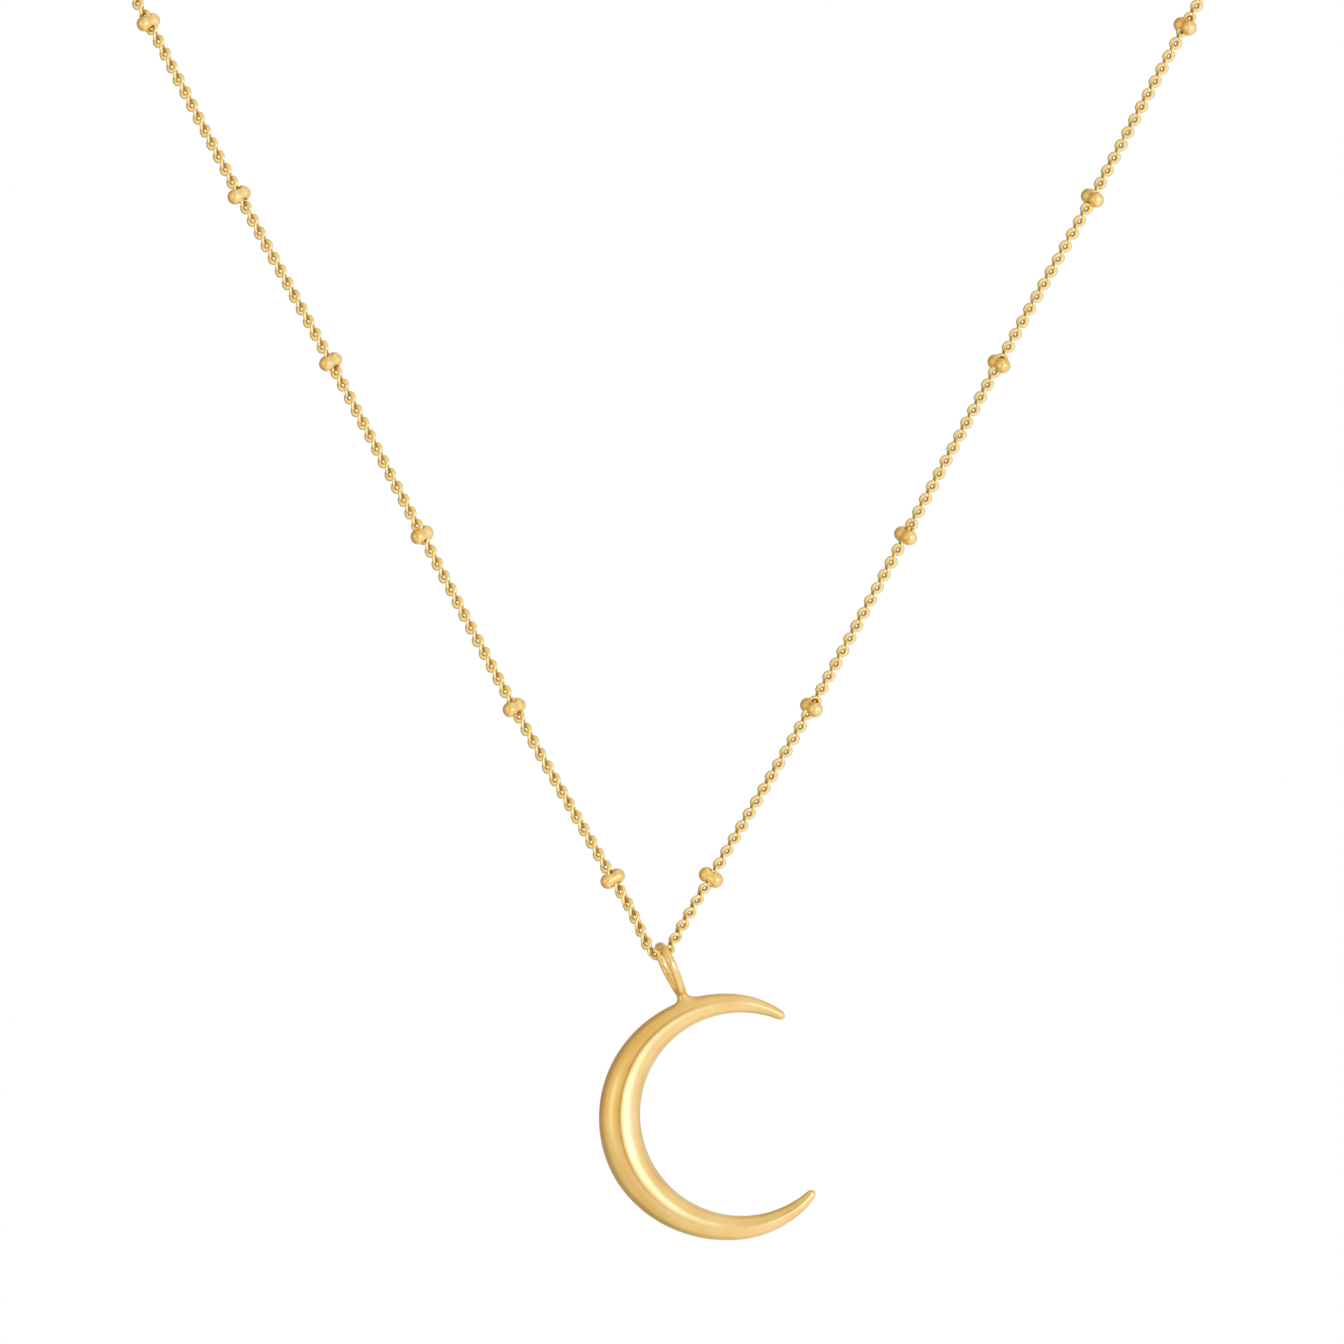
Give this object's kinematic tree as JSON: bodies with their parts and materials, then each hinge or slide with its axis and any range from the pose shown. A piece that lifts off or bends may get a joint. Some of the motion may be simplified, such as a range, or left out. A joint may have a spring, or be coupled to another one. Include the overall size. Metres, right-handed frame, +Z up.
{
  "type": "crescent moon pendant necklace",
  "caption": "Gold crescent moon pendant with a tall loop bail, hung free on a fine cable chain with small beads spaced along it and a closed clasp at the nape.",
  "frame": {"origin": "the nape of the neck, in the middle of the closed clasp's big ring", "axes": "+Z up as worn, +Y towards the wearer's back, +X to the right as seen from the front"},
  "size_m": [0.1164, 0.0788, 0.1512],
  "materials": {
    "pendant": "polished gold with a soft satin lustre",
    "chain": "polished gold wire",
    "bead": "polished gold",
    "clasp": "polished gold"
  },
  "bodies": {
    "necklace": {"chain_left": "chain", "chain_right": "chain", "bead_left_01": "bead", "bead_left_02": "bead", "bead_left_03": "bead", "bead_left_04": "bead", "bead_left_05": "bead", "bead_left_06": "bead", "bead_left_07": "bead", "bead_left_08": "bead", "bead_left_09": "bead", "bead_left_10": "bead", "bead_left_11": "bead", "bead_left_12": "bead", "bead_left_13": "bead", "bead_left_14": "bead", "bead_right_01": "bead", "bead_right_02": "bead", "bead_right_03": "bead", "bead_right_04": "bead", "bead_right_05": "bead", "bead_right_06": "bead", "bead_right_07": "bead", "bead_right_08": "bead", "bead_right_09": "bead", "bead_right_10": "bead", "bead_right_11": "bead", "bead_right_12": "bead", "bead_right_13": "bead", "bead_right_14": "bead", "clasp": "clasp", "clasp_ring": "clasp", "end_ring": "clasp"},
    "pendant": {"crescent_pendant": "pendant"}
  },
  "joints": [
    {"name": "pendant_swing", "type": "hinge", "parent": "necklace", "child": "pendant", "pos_m": [0, -0.075, -0.1251], "axis": [1, 0, 0], "range_deg": [-35, 90]}
  ]
}
